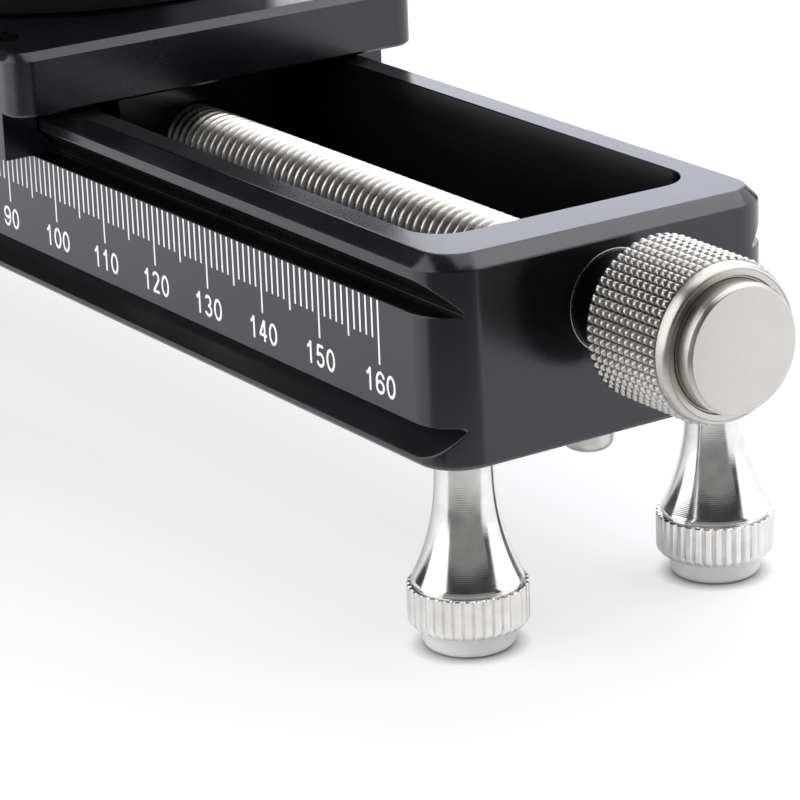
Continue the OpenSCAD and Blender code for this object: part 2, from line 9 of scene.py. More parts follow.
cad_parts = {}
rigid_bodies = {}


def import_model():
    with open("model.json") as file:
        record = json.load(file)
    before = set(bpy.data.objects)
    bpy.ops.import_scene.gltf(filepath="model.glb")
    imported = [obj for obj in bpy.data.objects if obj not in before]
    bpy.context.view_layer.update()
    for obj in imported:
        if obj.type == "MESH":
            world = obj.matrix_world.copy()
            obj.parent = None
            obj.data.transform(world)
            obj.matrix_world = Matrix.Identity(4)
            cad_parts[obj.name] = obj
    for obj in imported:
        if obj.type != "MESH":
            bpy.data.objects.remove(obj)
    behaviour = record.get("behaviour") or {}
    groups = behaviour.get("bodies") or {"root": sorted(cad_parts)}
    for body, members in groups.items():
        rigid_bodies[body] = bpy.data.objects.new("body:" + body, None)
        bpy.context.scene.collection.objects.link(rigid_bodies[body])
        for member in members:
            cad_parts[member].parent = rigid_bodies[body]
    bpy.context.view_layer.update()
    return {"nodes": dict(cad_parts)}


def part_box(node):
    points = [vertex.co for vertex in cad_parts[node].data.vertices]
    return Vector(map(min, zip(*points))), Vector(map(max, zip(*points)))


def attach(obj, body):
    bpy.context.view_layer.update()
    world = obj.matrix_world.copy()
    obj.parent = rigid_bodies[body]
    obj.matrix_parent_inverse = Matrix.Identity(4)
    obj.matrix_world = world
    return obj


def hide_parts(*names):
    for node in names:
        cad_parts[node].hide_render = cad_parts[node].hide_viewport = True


for startup_object in list(bpy.data.objects):
    bpy.data.objects.remove(startup_object)
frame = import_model()

# Lengths are in millimetres until a mesh is made, and metres in the studio. +X runs along the
# rail towards the knob that the photograph shows, -Y is the side with the scale, and +Z is up.
MM = 0.001
TURN = 2 * math.pi


# ---- sizes read from the frame ----

AXES = {  # across, up and along a piece that is turned about the axis
    "+x": ((0, 1, 0), (0, 0, 1), (1, 0, 0)),
    "-x": ((0, 0, 1), (0, 1, 0), (-1, 0, 0)),
    "+y": ((0, 0, 1), (1, 0, 0), (0, 1, 0)),
    "-y": ((1, 0, 0), (0, 0, 1), (0, -1, 0)),
    "-z": ((0, 1, 0), (1, 0, 0), (0, 0, -1)),
}


def corners_of(node):
    """Lowest and highest corner of a CAD node, in millimetres."""
    low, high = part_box(node)
    return np.array(low) / MM, np.array(high) / MM


def middle_of(node):
    """Middle of a CAD node's box, in millimetres."""
    low, high = corners_of(node)
    return (low + high) / 2


def turned_size(node, axis):
    """Length of a round CAD node along its axis, and its radius."""
    low, high = corners_of(node)
    along = "xyz".index(axis[1])
    across = 0 if axis[1] == "z" else 2
    return (high - low)[along], (high - low)[across] / 2


def foot_of(node, axis):
    """Middle of the face of a node's box that the axis rises from."""
    low, high = corners_of(node)
    along = np.array(AXES[axis][2])
    return (low + high) / 2 - along * ((high - low) @ abs(along)) / 2


NEAR_FACE_Y = corners_of("rail_body")[0][1]
FLOOR_Z = float(corners_of("pad_near_right")[0][2])
CARRIAGE_X = middle_of("carriage_plate")[0]


# ---- surfaces ----


def outline(corners, steps=5):
    """Points along a line of (u, v, round) corners. A corner with a round is replaced by an arc
    of that radius that touches both its sides: the middle of the arc lies on the line that
    halves the corner, round / sin(half) from it."""
    at = np.array([corner[:2] for corner in corners], float)
    pieces = [at[:1]]
    share = np.linspace(0, 1, steps)[:, None]
    for before, corner, after, (_, _, radius) in zip(at, at[1:], at[2:], corners[1:]):
        if not radius:
            pieces.append(corner[None])
            continue
        a = (before - corner) / np.linalg.norm(before - corner)
        b = (after - corner) / np.linalg.norm(after - corner)
        half = math.acos(np.clip(a @ b, -1, 1)) / 2
        middle = corner + (a + b) / np.linalg.norm(a + b) * radius / math.sin(half)
        start, end = (corner + side * radius / math.tan(half) - middle for side in (a, b))
        sweep = math.pi - 2 * half
        arc = np.sin((1 - share) * sweep) * start + np.sin(share * sweep) * end
        pieces.append(middle + arc / math.sin(sweep))
    pieces.append(at[-1:])
    return np.concatenate(pieces)


def rings_to_faces(rings, hollow):
    """Points and faces of a closed surface through rings of points, an array (rings, spokes, 3).
    Each ring joins the next. Where it is hollow the last ring joins the first, and otherwise a
    fan to the middle of its ring closes each end."""
    count, spokes = rings.shape[:2]
    index = np.arange(count * spokes).reshape(count, spokes)
    if hollow:
        index = np.vstack([index, index[:1]])
    low, high = index[:-1], index[1:]
    faces = np.stack([low, np.roll(low, -1, 1), np.roll(high, -1, 1), high], -1)
    faces = faces.reshape(-1, 4).tolist()
    points = rings.reshape(-1, 3)
    if not hollow:
        points = np.vstack([points, rings[0].mean(0), rings[-1].mean(0)])
        first, last = index[0], index[-1]
        bottom, top = count * spokes, count * spokes + 1
        faces += [[bottom, b, a] for a, b in zip(first, np.roll(first, -1))]
        faces += [[top, a, b] for a, b in zip(last, np.roll(last, -1))]
    return points, faces


SMOOTH_DEGREES = 30
GROOVE = "groove_depth"


def make_piece(name, parts, material, sunk=None):
    """One mesh object from a list of (points, faces) in millimetres. Edges that turn more than
    SMOOTH_DEGREES stay crisp, and the rest are shaded round. sunk says how deep each point lies
    in a groove, from 0 to 1, for the finishes that are darker there with dirt and painted shade."""
    points, faces, start = [], [], 0
    for part_points, part_faces in parts:
        points.append(part_points)
        faces += [[start + corner for corner in face] for face in part_faces]
        start += len(part_points)
    mesh = bpy.data.meshes.new(name)
    mesh.from_pydata((np.concatenate(points) * MM).tolist(), [], faces)
    if sunk is not None:
        mesh.attributes.new(GROOVE, "FLOAT", "POINT").data.foreach_set("value", sunk)
    mesh.shade_smooth()
    mesh.set_sharp_from_angle(angle=math.radians(SMOOTH_DEGREES))
    mesh.materials.append(material)
    piece = bpy.data.objects.new(name, mesh)
    bpy.context.scene.collection.objects.link(piece)
    return piece


def turned_grid(corners, spokes, hollow, steps):
    """Radius and height down the outline, as columns, and the angles of the spokes, as a row."""
    line = outline(corners + corners[:1], steps)[:-1] if hollow else outline(corners, steps)
    return line[:, :1], line[:, 1:], np.linspace(0, TURN, spokes, endpoint=False)[None]


def turned(corners, base, axis, spokes=96, hollow=False, cut=0, steps=5):
    """Points and faces of a turned piece. Its outline is (radius, height, round) corners, up the
    outside from the base, and back down the bore where it is hollow. A point is
    base + radius (cos a, sin a) across the axis + height along it, and cut is taken from the
    radius."""
    radius, height, angle = turned_grid(corners, spokes, hollow, steps)
    radius = radius - cut
    across, up, along = (np.array(v, float) for v in AXES[axis])
    rings = (np.array(base, float)
             + (radius * np.cos(angle))[..., None] * across
             + (radius * np.sin(angle))[..., None] * up
             + (height * np.ones_like(angle))[..., None] * along)
    if not hollow:
        rings = rings[1:-1]
    return rings_to_faces(rings, hollow)


def zigzag(u):
    """1 where u is a whole number, falling straight to 0 halfway between."""
    return abs(2 * (u % 1) - 1)


# ---- finishes ----


def linear(hex_colour):
    """Linear RGBA of an sRGB hex colour."""
    values = [int(hex_colour[i:i + 2], 16) / 255 for i in (1, 3, 5)]
    return [v / 12.92 if v <= 0.04045 else ((v + 0.055) / 1.055) ** 2.4 for v in values] + [1]


def add(tree, kind, inputs=(), **settings):
    """Adds a node. settings are its properties, and inputs are (socket, value) pairs, where the
    value is a number, a colour, or the socket of another node to link from."""
    new = tree.nodes.new(kind)
    for key, value in settings.items():
        setattr(new, key, value)
    for key, value in inputs:
        if isinstance(value, bpy.types.NodeSocket):
            tree.links.new(value, new.inputs[key])
        else:
            new.inputs[key].default_value = value
    return new


# Most of a random pattern lies within this range of its values
MIDDLE = (0.3, 0.7)


def new_finish(name, spots, metallic=0.0, ior=None):
    """A material with one principled shader: its tree, that shader, the piece's own coordinates
    in metres, and its soft random patterns, from 0 to 1. spots gives the size in millimetres of
    each pattern's spots, and its detail."""
    material = bpy.data.materials.new(name)
    material.use_nodes = True
    tree = material.node_tree
    shader = tree.nodes["Principled BSDF"]
    shader.inputs["Metallic"].default_value = metallic
    if ior:
        shader.inputs["IOR"].default_value = ior
    here = add(tree, "ShaderNodeTexCoord").outputs["Object"]
    patterns = [add(tree, "ShaderNodeTexNoise", [
        ("Vector", here), ("Scale", 1 / (size * MM)), ("Detail", detail)]).outputs["Fac"]
        for size, detail in spots]
    return material, tree, shader, here, patterns


def clouded(tree, pattern, dark, light, span=MIDDLE):
    """A colour that runs from dark to light over the span of a pattern."""
    share = add(tree, "ShaderNodeMapRange", [
        ("Value", pattern), ("From Min", span[0]), ("From Max", span[1])])
    return add(tree, "ShaderNodeMix", [
        ("Factor", share.outputs["Result"]), ("A", linear(dark)), ("B", linear(light))],
        data_type="RGBA").outputs["Result"]


def soiled(tree, clean, dirt_and_shade):
    """A colour that darkens down in the grooves of a knurl, a thread or a flute: partly dirt,
    partly painted shade in the hollows.
    """
    depth = add(tree, "ShaderNodeAttribute", attribute_name=GROOVE)
    share = add(tree, "ShaderNodeMapRange", [
        ("Value", depth.outputs["Fac"]), ("From Min", 0.35), ("From Max", 1), ("To Max", 0.9)])
    return add(tree, "ShaderNodeMix", [
        ("Factor", share.outputs["Result"]), ("A", clean), ("B", linear(dirt_and_shade))],
        data_type="RGBA").outputs["Result"]


def finish_with(tree, shader, colour, roughness, relief, depth, strength=1.0):
    """Links a colour, a roughness and a relief to the shader. The roughness is a sum of
    (pattern, low, high), each of which runs from low to high over the pattern's middle range.
    The relief is a pattern, and its depth is in millimetres."""
    parts = [add(tree, "ShaderNodeMapRange", [
        ("Value", pattern), ("From Min", MIDDLE[0]), ("From Max", MIDDLE[1]), ("To Min", low),
        ("To Max", high)]).outputs["Result"] for pattern, low, high in roughness]
    rough = parts[0]
    for part in parts[1:]:
        rough = add(tree, "ShaderNodeMath", [(0, rough), (1, part)],
                    operation="ADD").outputs["Value"]
    bump = add(tree, "ShaderNodeBump", [("Height", relief), ("Distance", depth * MM),
                                        ("Strength", strength)])
    tree.links.new(colour, shader.inputs["Base Color"])
    tree.links.new(rough, shader.inputs["Roughness"])
    tree.links.new(bump.outputs["Normal"], shader.inputs["Normal"])


def black_anodise(name, dark, light, roughness):
    """Aluminium blasted with fine beads and anodised black: a hard clear oxide over a dyed
    ground, so it is near black head on, and grey and satin where it glances. The grit is drawn
    coarser than the real 0.05 mm, to show at the camera's distance."""
    material, tree, shader, _, (grain, cloud) = new_finish(
        name, spots=[(0.16, 2), (14, 3)], ior=1.65)
    shader.inputs["Specular Tint"].default_value = linear("#f4f1fc")
    finish_with(tree, shader, clouded(tree, cloud, dark, light),
                [(grain, -0.05, 0.05), (cloud, roughness - 0.03, roughness + 0.03)],
                relief=grain, depth=0.016, strength=0.2)
    return material


def blasted_steel(name, dark, light, dirt_and_shade, roughness):
    """Stainless steel turned, then blasted with fine beads: an even, warm grey satin with no
    direction, a shade cloudier where the blast dwelt."""
    material, tree, shader, _, (grain, cloud) = new_finish(
        name, spots=[(0.12, 2), (3.5, 3)], metallic=1.0)
    both = add(tree, "ShaderNodeMath", [(0, grain), (1, cloud)], operation="MULTIPLY")
    clean = clouded(tree, both.outputs["Value"], dark, light, span=(0.12, 0.4))
    # Darker down in the grooves: dirt and painted shade
    finish_with(tree, shader, soiled(tree, clean, dirt_and_shade),
                [(cloud, roughness - 0.04, roughness + 0.04)],
                relief=grain, depth=0.01, strength=0.5)
    return material


def turned_steel(name, dark, light, roughness, feed):
    """Stainless steel turned and polished on the lathe: mirror bright, with fine rings left by
    the tool a feed apart up the Z axis, and faint streaks where it was rubbed. A wave texture
    repeats every TURN / 20 / scale."""
    material, tree, shader, here, (cloud,) = new_finish(name, spots=[(1.6, 4)], metallic=1.0)
    rings = add(tree, "ShaderNodeTexWave", [
        ("Vector", here), ("Scale", TURN / 20 / (feed * MM)), ("Distortion", 1.2),
        ("Detail", 2.0), ("Detail Scale", 3.0)],
        wave_type="BANDS", bands_direction="Z").outputs["Fac"]
    finish_with(tree, shader, clouded(tree, cloud, dark, light),
                [(rings, -0.03, 0.04), (cloud, roughness - 0.03, roughness + 0.05)],
                relief=rings, depth=0.0016)
    return material


def plain_metal(name, dark, light, dirt_and_shade, roughness, depth=0.004):
    """Metal as it comes from the machine or the plating bath: a slight cloud in its colour and
    a faint tooth of the given depth in millimetres."""
    material, tree, shader, _, (grain, cloud) = new_finish(
        name, spots=[(0.35, 3), (2.5, 3)], metallic=1.0)
    # Darker down in the grooves: dirt and painted shade
    finish_with(tree, shader, soiled(tree, clouded(tree, cloud, dark, light), dirt_and_shade),
                [(grain, roughness - 0.05, roughness + 0.06)], relief=grain, depth=depth)
    return material


def moulded(name, dark, light, roughness, depth=0.01):
    """Moulded plastic or printed ink: one even colour with a fine matt tooth of the given depth
    in millimetres."""
    material, tree, shader, _, (grain, cloud) = new_finish(
        name, spots=[(0.25, 2), (4, 2)], ior=1.5)
    finish_with(tree, shader, clouded(tree, cloud, dark, light),
                [(grain, roughness - 0.05, roughness + 0.05)],
                relief=grain, depth=depth, strength=0.6)
    return material


# Colours deep in the grooves: dirt together with painted shade in the hollows
STEEL_DIRT_AND_SHADE = "#4a4844"
METAL_DIRT_AND_SHADE = "#3c3834"

ANODISED = black_anodise("bead_blasted_black_anodised_aluminium", "#0b0b0d", "#111113",
                         roughness=0.2)
BLUE_BLACK = black_anodise("bead_blasted_blue_black_anodised_aluminium", "#0a0c12", "#10131a",
                           roughness=0.22)
SATIN = blasted_steel("bead_blasted_stainless_steel", "#c6c3be", "#d0cdc8", STEEL_DIRT_AND_SHADE,
                      roughness=0.3)
POLISHED = turned_steel("turned_and_polished_stainless_steel", "#dfdddb", "#eeedeb",
                        roughness=0.12, feed=0.16)
THREAD = plain_metal("rolled_steel_thread", "#dedad4", "#ece9e4", METAL_DIRT_AND_SHADE,
                     roughness=0.3, depth=0.001)
PLATED = plain_metal("tin_plated_steel", "#cfcdc9", "#dedcd8", METAL_DIRT_AND_SHADE,
                     roughness=0.24, depth=0.001)
BLACK_OXIDE = plain_metal("black_oxide_steel", "#1d1d1f", "#2a2a2c", METAL_DIRT_AND_SHADE, roughness=0.34)
ZINC = plain_metal("bright_zinc_plated_steel", "#a9aaa8", "#c4c5c2", METAL_DIRT_AND_SHADE, roughness=0.28)
BRONZE = plain_metal("sintered_bronze", "#96713f", "#b48b50", METAL_DIRT_AND_SHADE,
                     roughness=0.38, depth=0.008)
PAD_GREY = moulded("grey_nylon_pad", "#dcdbd9", "#e6e5e3", roughness=0.5)
LOW_FRICTION = moulded("white_low_friction_plastic", "#cfcdc6", "#dcdad4", roughness=0.45)
MARKING = moulded("white_printed_marking", "#fafafa", "#ffffff", roughness=0.6, depth=0.002)


# ---- milled pieces: the CAD solid with its sharp edges broken ----

WELD = 0.002          # points nearer than this are one point
FLAT_DEGREES = 0.4    # faces that turn less than this are one flat face
EDGE_DEGREES = 25     # edges that turn more than this are broken
BROKEN_EDGE = 0.14
FINE_EDGE = 0.1


def milled(node, name, body, material, edge=BROKEN_EDGE):
    """A merged copy of a CAD node whose sharp edges get a small round, as deburred edges have."""
    mesh = frame["nodes"][node].data.copy()
    mesh.name = name
    solid = bmesh.new()
    solid.from_mesh(mesh)
    bmesh.ops.remove_doubles(solid, verts=solid.verts, dist=WELD * MM)
    bmesh.ops.dissolve_limit(solid, angle_limit=math.radians(FLAT_DEGREES), verts=solid.verts,
                             edges=solid.edges)
    solid.to_mesh(mesh)
    solid.free()
    mesh.materials.clear()
    mesh.materials.append(material)
    mesh.shade_smooth()
    piece = bpy.data.objects.new(name, mesh)
    bpy.context.scene.collection.objects.link(piece)
    bevel = piece.modifiers.new("broken_edges", "BEVEL")
    bevel.width = edge * MM
    bevel.segments = 2
    bevel.limit_method = "ANGLE"
    bevel.angle_limit = math.radians(EDGE_DEGREES)
    shading = piece.modifiers.new("flat_faces_shade_flat", "WEIGHTED_NORMAL")
    shading.weight = 100
    shading.keep_sharp = True
    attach(piece, body)
    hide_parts(node)


milled("rail_body", "rail_frame", "rail", ANODISED)
milled("carriage_plate", "carriage_top_plate", "carriage", BLUE_BLACK)
milled("guide_near", "near_guide_strip", "carriage", BLUE_BLACK, FINE_EDGE)
milled("guide_far", "far_guide_strip", "carriage", BLUE_BLACK, FINE_EDGE)
milled("nut_block", "screw_nut_block", "carriage", ANODISED, FINE_EDGE)
milled("pan_base", "round_panning_base", "carriage", ANODISED)
milled("clamp_body", "quick_release_body", "clamp", ANODISED)
milled("clamp_jaw", "quick_release_jaw", "jaw", ANODISED)


# ---- turned pieces ----

ON = 0.01  # a point this near to a radius or a height lies on it


def lathe(node, name, body, axis, corners, material, spokes=96, hollow=False,
          relief=None, steps=5, base=None):
    """A turned piece that stands for a CAD node, on the node's own axis. relief(radius, height,
    angle) is what a grooved piece loses from its radius."""
    sunk, cut = None, 0
    if relief:
        cut = relief(*turned_grid(corners, spokes, hollow, steps))
        rings = cut if hollow else cut[1:-1]
        sunk = np.append(rings.ravel(), [] if hollow else [0, 0]) / cut.max()
    base = foot_of(node, axis) if base is None else base
    piece = make_piece(name, [turned(corners, base, axis, spokes, hollow, cut, steps)],
                       material, sunk=sunk)
    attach(piece, body)
    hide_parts(node)


# Knurl: small square domes in straight rows, cut by grooves along the knob and by shallower
# rings round it
KNURL_PITCH = 0.92
KNURL_DEPTH = 0.42
RING_DEPTH = 0.8 * KNURL_DEPTH
KNURL_STEPS = 8

KNOB_STEPS = 4        # points to each rounded corner
BACK_EDGE = 0.1       # bevel at the back of a knob
SHOULDER_DROP = 0.8   # how much smaller the face is than the band
SHOULDER_STEP = 0.03  # between the last ring and the start of the shoulder
SHOULDER_POINTS = 9


def knurled_band(radius, start, length):
    """Corners of the band's outline, the spokes that it needs, and its relief: the deeper of
    KNURL_DEPTH u ** 2 and RING_DEPTH v ** 2, where u and v run from 0 on top of a dome to 1 in
    the grooves along the knob and in the rings round it."""
    rows = round(length / KNURL_PITCH)
    columns = round(TURN * radius / KNURL_PITCH)
    heights = np.linspace(start, start + length, rows * KNURL_STEPS + 1)

    def relief(at_radius, height, angle):
        cut = np.maximum(KNURL_DEPTH * zigzag(angle * columns / TURN) ** 2,
                         RING_DEPTH * zigzag((height - start) * rows / length) ** 2)
        inside = (height > start - ON) & (height < start + length + ON)
        return np.where(inside & (at_radius > radius - ON), cut, 0)

    return [(radius, h, 0) for h in heights], columns * KNURL_STEPS, relief


def knurled_side(radius, length, shoulder):
    """The side of a knob: back edge, knurled band, and a shoulder that starts on the floor of
    the rings and meets the face on an oval."""
    band, spokes, relief = knurled_band(radius, BACK_EDGE, length - shoulder - BACK_EDGE)
    root = radius - RING_DEPTH
    low = length - shoulder + SHOULDER_STEP
    oval = [(root - (SHOULDER_DROP - RING_DEPTH) * (1 - math.cos(t)),
             low + (length - low) * math.sin(t), 0)
            for t in np.linspace(0, math.pi / 2, SHOULDER_POINTS)]
    return [(root - BACK_EDGE, 0, 0.05)] + band + oval, spokes, relief


FACE_DEPTH = 0.07                # the face, below the end of the shoulder
FACE_EDGE = 0.1                  # width of the step down to it
GROOVE_OUTSIDE = (0.3, 0.2)      # radius beyond the disc's, at the top and foot of its outer side
GROOVE_FLOOR = (0.34, 0.36)      # depth at its outer and inner edge
SEAT_GAP = 0.05                  # between the disc and its seat
SEAT_DEPTH = 1.6


def knurled_knob(node, disc, name, body, axis, shoulder, bore):
    """Knurled knob with a seat for the raised disc in its face. A fine groove runs round the
    disc."""
    length, radius = turned_size(node, axis)
    seat = turned_size(disc, axis)[1]
    side, spokes, relief = knurled_side(radius, length, shoulder)
    face = length - FACE_DEPTH
    corners = ([(bore, 0, 0)] + side
               + [(radius - SHOULDER_DROP - FACE_EDGE, face, 0.03),
                  (seat + GROOVE_OUTSIDE[0], face, 0.06),
                  (seat + GROOVE_OUTSIDE[1], length - GROOVE_FLOOR[0], 0.04),
                  (seat + SEAT_GAP, length - GROOVE_FLOOR[1], 0.03),
                  (seat + SEAT_GAP, length - SEAT_DEPTH, 0), (bore, length - SEAT_DEPTH, 0)])
    lathe(node, name, body, axis, corners, SATIN, spokes=spokes,
          relief=relief, hollow=True, steps=KNOB_STEPS)


DISC_BEVEL = 0.25    # width of the bevel round the disc's flat
DISC_BEVEL_H = 0.4


def raised_disc(node, name, body, axis):
    """The disc in a knob's face: its edge is a broad soft bevel round a flat."""
    length, radius = turned_size(node, axis)
    lathe(node, name, body, axis,
          [(0, 0, 0), (radius, 0, 0), (radius, length - DISC_BEVEL_H, 0.25),
           (radius - DISC_BEVEL, length, 0.15), (0, length, 0)],
          SATIN, spokes=128)


JOURNAL_BORE = 3.02
COLLAR_ROUND = 0.25


def black_collar(node, name, axis):
    """Plain collar behind a focusing knob."""
    length, radius = turned_size(node, axis)
    lathe(node, name, "screw", axis,
          [(JOURNAL_BORE, 0, 0), (radius, 0, COLLAR_ROUND), (radius, length, COLLAR_ROUND),
           (JOURNAL_BORE, length, 0)], BLACK_OXIDE, hollow=True)


LOCK_BORE = 1.52
LOCK_BORE_SHARE = 0.7  # of the knob's length


def lock_knob(node, name, body, axis):
    """Solid knurled knob with a rounded shoulder and a plain face."""
    length, radius = turned_size(node, axis)
    side, spokes, relief = knurled_side(radius, length, shoulder=1.4)
    deep = length * LOCK_BORE_SHARE
    corners = [(0, deep, 0), (LOCK_BORE, deep, 0), (LOCK_BORE, 0, 0)] + side + [(0, length, 0)]
    lathe(node, name, body, axis, corners, SATIN, spokes=spokes,
          relief=relief, steps=KNOB_STEPS)


for side, axis in (("right", "+x"), ("left", "-x")):
    knurled_knob(f"knob_{side}", f"knob_cap_{side}", f"knurled_focus_knob_{side}", "screw", axis,
                 shoulder=1.3, bore=JOURNAL_BORE)
    raised_disc(f"knob_cap_{side}", f"focus_knob_disc_{side}", "screw", axis)
    black_collar(f"collar_{side}", f"black_collar_{side}", axis)
knurled_knob("clamp_knob", "clamp_knob_cap", "knurled_clamp_knob", "jaw_screw", "-y",
             shoulder=1.8, bore=2.52)
raised_disc("clamp_knob_cap", "clamp_knob_disc", "jaw_screw", "-y")
lock_knob("carriage_lock_knob", "knurled_carriage_lock_knob", "carriage_lock", "+y")
lock_knob("pan_lock_knob", "knurled_pan_lock_knob", "pan_lock", "-y")


# Lead screw: M8 thread of 1.25 mm pitch between plain journals
THREAD_PITCH = 1.25
THREAD_DEPTH = 0.5
THREAD_ROWS = 12   # rings of points to a pitch
THREAD_SPOKES = 40
THREAD_GAP = 0.1   # between the thread's end and the bush
JOURNAL_R = 3.0
JOURNAL_ROUND = 0.3


def lead_screw():
    """radius = crest less THREAD_DEPTH g, where g = (1 - cos(2 pi u)) / 2, and u counts the
    pitches along the axis less the turns round it. The thread dies out over one pitch at each
    end."""
    length, crest = turned_size("lead_screw", "+x")
    middle = length / 2
    thread_half = float(corners_of("bush_right")[0][0]) - THREAD_GAP
    first, last = middle - thread_half, middle + thread_half
    pitches = round(2 * thread_half / THREAD_PITCH)

    def relief(at_radius, height, angle):
        turn = (height - middle) / THREAD_PITCH - angle / TURN
        groove = (1 - np.cos(TURN * turn)) / 2
        to_end = thread_half - abs(height - middle)
        runout = np.clip(to_end / THREAD_PITCH, 0, 1)
        cut = THREAD_DEPTH * (1 - (1 - groove) * runout)
        return np.where(at_radius > crest - ON, cut, 0)

    corners = ([(0, 0, 0), (JOURNAL_R, 0, JOURNAL_ROUND), (JOURNAL_R, first, 0)]
               + [(crest, h, 0) for h in np.linspace(first, last, pitches * THREAD_ROWS + 1)]
               + [(JOURNAL_R, last, 0), (JOURNAL_R, length, JOURNAL_ROUND), (0, length, 0)])
    lathe("lead_screw", "threaded_lead_screw", "screw", "+x", corners, THREAD,
          spokes=THREAD_SPOKES, relief=relief)


lead_screw()


# Bushes in the end walls
BUSH_R = 4.95
BUSH_BORE = 3.04
FLANGE_H = 1


def flanged_bush(node, name, axis):
    """Bush with a thin bright flange at its inner end."""
    length, flange_r = turned_size(node, axis)
    lathe(node, name, "rail", axis,
          [(BUSH_BORE, 0, 0.15), (flange_r, 0, 0.2), (flange_r, FLANGE_H, 0.1),
           (BUSH_R, FLANGE_H, 0), (BUSH_R, length, 0.05), (BUSH_BORE, length, 0.15)],
          PLATED, hollow=True)


for side, axis in (("right", "+x"), ("left", "-x")):
    flanged_bush(f"bush_{side}", f"flanged_bush_{side}", axis)


# Stop studs: a round head under the frame near each end
STUD_R = 2.4
STUD_H = 2.4
STUD_DOME = 0.95


def stop_studs():
    """Both studs, as one piece."""
    from_middle = corners_of("stop_studs")[1][0] - STUD_R
    studs = make_piece("domed_stop_studs", [
        turned([(0, 0, 0), (STUD_R, 0, 0), (STUD_R, STUD_H, STUD_DOME), (0, STUD_H, 0)],
               (x, 0, 0), "-z") for x in (-from_middle, from_middle)], SATIN)
    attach(studs, "rail")
    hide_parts("stop_studs")


stop_studs()


# Feet: a flare that swells to a fluted grip ring, and a pad under it. Heights are measured down
# from the frame
NECK_R = 2.75
FLARE_R = 5.25
FLARE_H = 11.5
FLARE_POWER = 2.4
FLARE_POINTS = 33
GRIP_TOP = 11.85
PAD_TOP = 15.8
GRIP_RING = [
    (FLARE_R, 11.55, 0), (5.0, 11.62, 0), (5.05, GRIP_TOP, 0),  # undercut below the flare
    (5.57, GRIP_TOP, 0), (5.65, 11.93, 0), (5.65, 15.3, 0),     # the ring
    (5.25, PAD_TOP, 0.1), (0, PAD_TOP, 0),                      # its underside
]
FLUTES = 36
FLUTE_DEPTH = 0.36
FLUTED_FROM_R = 5.1    # no flute is cut nearer the axis
FLUTE_STEPS = 10
LAND_DOME = 0.12       # of the flute's depth


def flute_relief(at_radius, height, angle):
    """V flutes with wide, slightly domed lands between, cut straight down through the grip
    ring only."""
    ring = (height > GRIP_TOP - ON) & (at_radius > FLUTED_FROM_R)
    flute = np.clip(2 * zigzag(angle * FLUTES / TURN) - 1, 0, 1)
    land = LAND_DOME * abs(np.sin(angle * FLUTES / 2))
    return np.where(ring, FLUTE_DEPTH * (flute + land) / (1 + LAND_DOME), 0)


def foot(node, name):
    """The neck's radius grows to the flare's as share ** FLARE_POWER of the height, and the ring
    stands proud of it."""
    flare = [(NECK_R + (FLARE_R - NECK_R) * share ** FLARE_POWER, share * FLARE_H, 0)
             for share in np.linspace(0, 1, FLARE_POINTS)]
    lathe(node, name, "rail", "-z", [(0, 0, 0)] + flare + GRIP_RING, POLISHED,
          spokes=FLUTES * FLUTE_STEPS, relief=flute_relief,
          base=(*middle_of(node)[:2], 0))


PAD_H = -FLOOR_Z - PAD_TOP
PAD_EDGE = 0.15
PAD_ROUND = 0.8


def grey_pad(node, name):
    """Round pad with a soft edge to the table."""
    radius = turned_size(node, "-z")[1]
    lathe(node, name, "rail", "-z",
          [(0, 0, 0), (radius, 0, PAD_EDGE), (radius, PAD_H, PAD_ROUND), (0, PAD_H, 0)],
          PAD_GREY, steps=8, base=(*middle_of(node)[:2], -PAD_TOP))


for corner in ("near_right", "near_left", "far_right", "far_left"):
    foot(f"foot_{corner}", f"fluted_foot_{corner}")
    grey_pad(f"pad_{corner}", f"grey_pad_{corner}")


# Countersunk screws of the guide strips, with hexagon sockets
HEAD_R = 2.5
HEAD_GAP = 0.02            # between a head and its countersink
HEAD_LAND = 0.12           # height of the head's straight edge
HEAD_BEVEL = (0.06, 0.04)  # width and height of the bevel on it
SCREW_PLACES = (14, 24)    # from the middle of the carriage
SCREW_SPOKES = 60
SHANK_L = 6
SOCKET_HALF = 0.75         # half the width across its flats
SOCKET_DEPTH = 1.1
SOCKET_BEVEL = 0.1


def socket_screw(top, radius):
    """Countersunk head with a hexagon socket. A ring of the socket has the radius
    SOCKET_HALF / cos(angle from the middle of its flat)."""
    angle = np.linspace(0, TURN, SCREW_SPOKES, endpoint=False)
    sixth = TURN / 6
    hexagon = SOCKET_HALF / np.cos((angle + sixth / 2) % sixth - sixth / 2)
    shank_r = radius / 2
    rings = [(shank_r, -radius - SHANK_L), (shank_r, -radius / 2), (radius, -HEAD_LAND),
             (radius, -HEAD_BEVEL[1]), (radius - HEAD_BEVEL[0], 0), (hexagon + SOCKET_BEVEL, 0),
             (hexagon, -SOCKET_BEVEL), (hexagon, -SOCKET_DEPTH)]
    points = np.stack([np.stack([r * np.cos(angle), r * np.sin(angle), h + 0 * angle], -1)
                       for r, h in rings])
    return rings_to_faces(points + np.array(top), hollow=False)


def guide_screws():
    """All eight screws, as one piece."""
    high = corners_of("guide_screws")[1]
    from_middle = high[1] - HEAD_R + HEAD_GAP / 2
    screws = make_piece("guide_socket_screws", [
        socket_screw((CARRIAGE_X + end * x, side * from_middle, high[2] - HEAD_GAP),
                     HEAD_R - HEAD_GAP)
        for x in SCREW_PLACES for end in (-1, 1) for side in (-1, 1)],
        BLACK_OXIDE)
    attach(screws, "carriage")
    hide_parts("guide_screws")


guide_screws()


# ---- CAD nodes that stay, each with its own finish ----

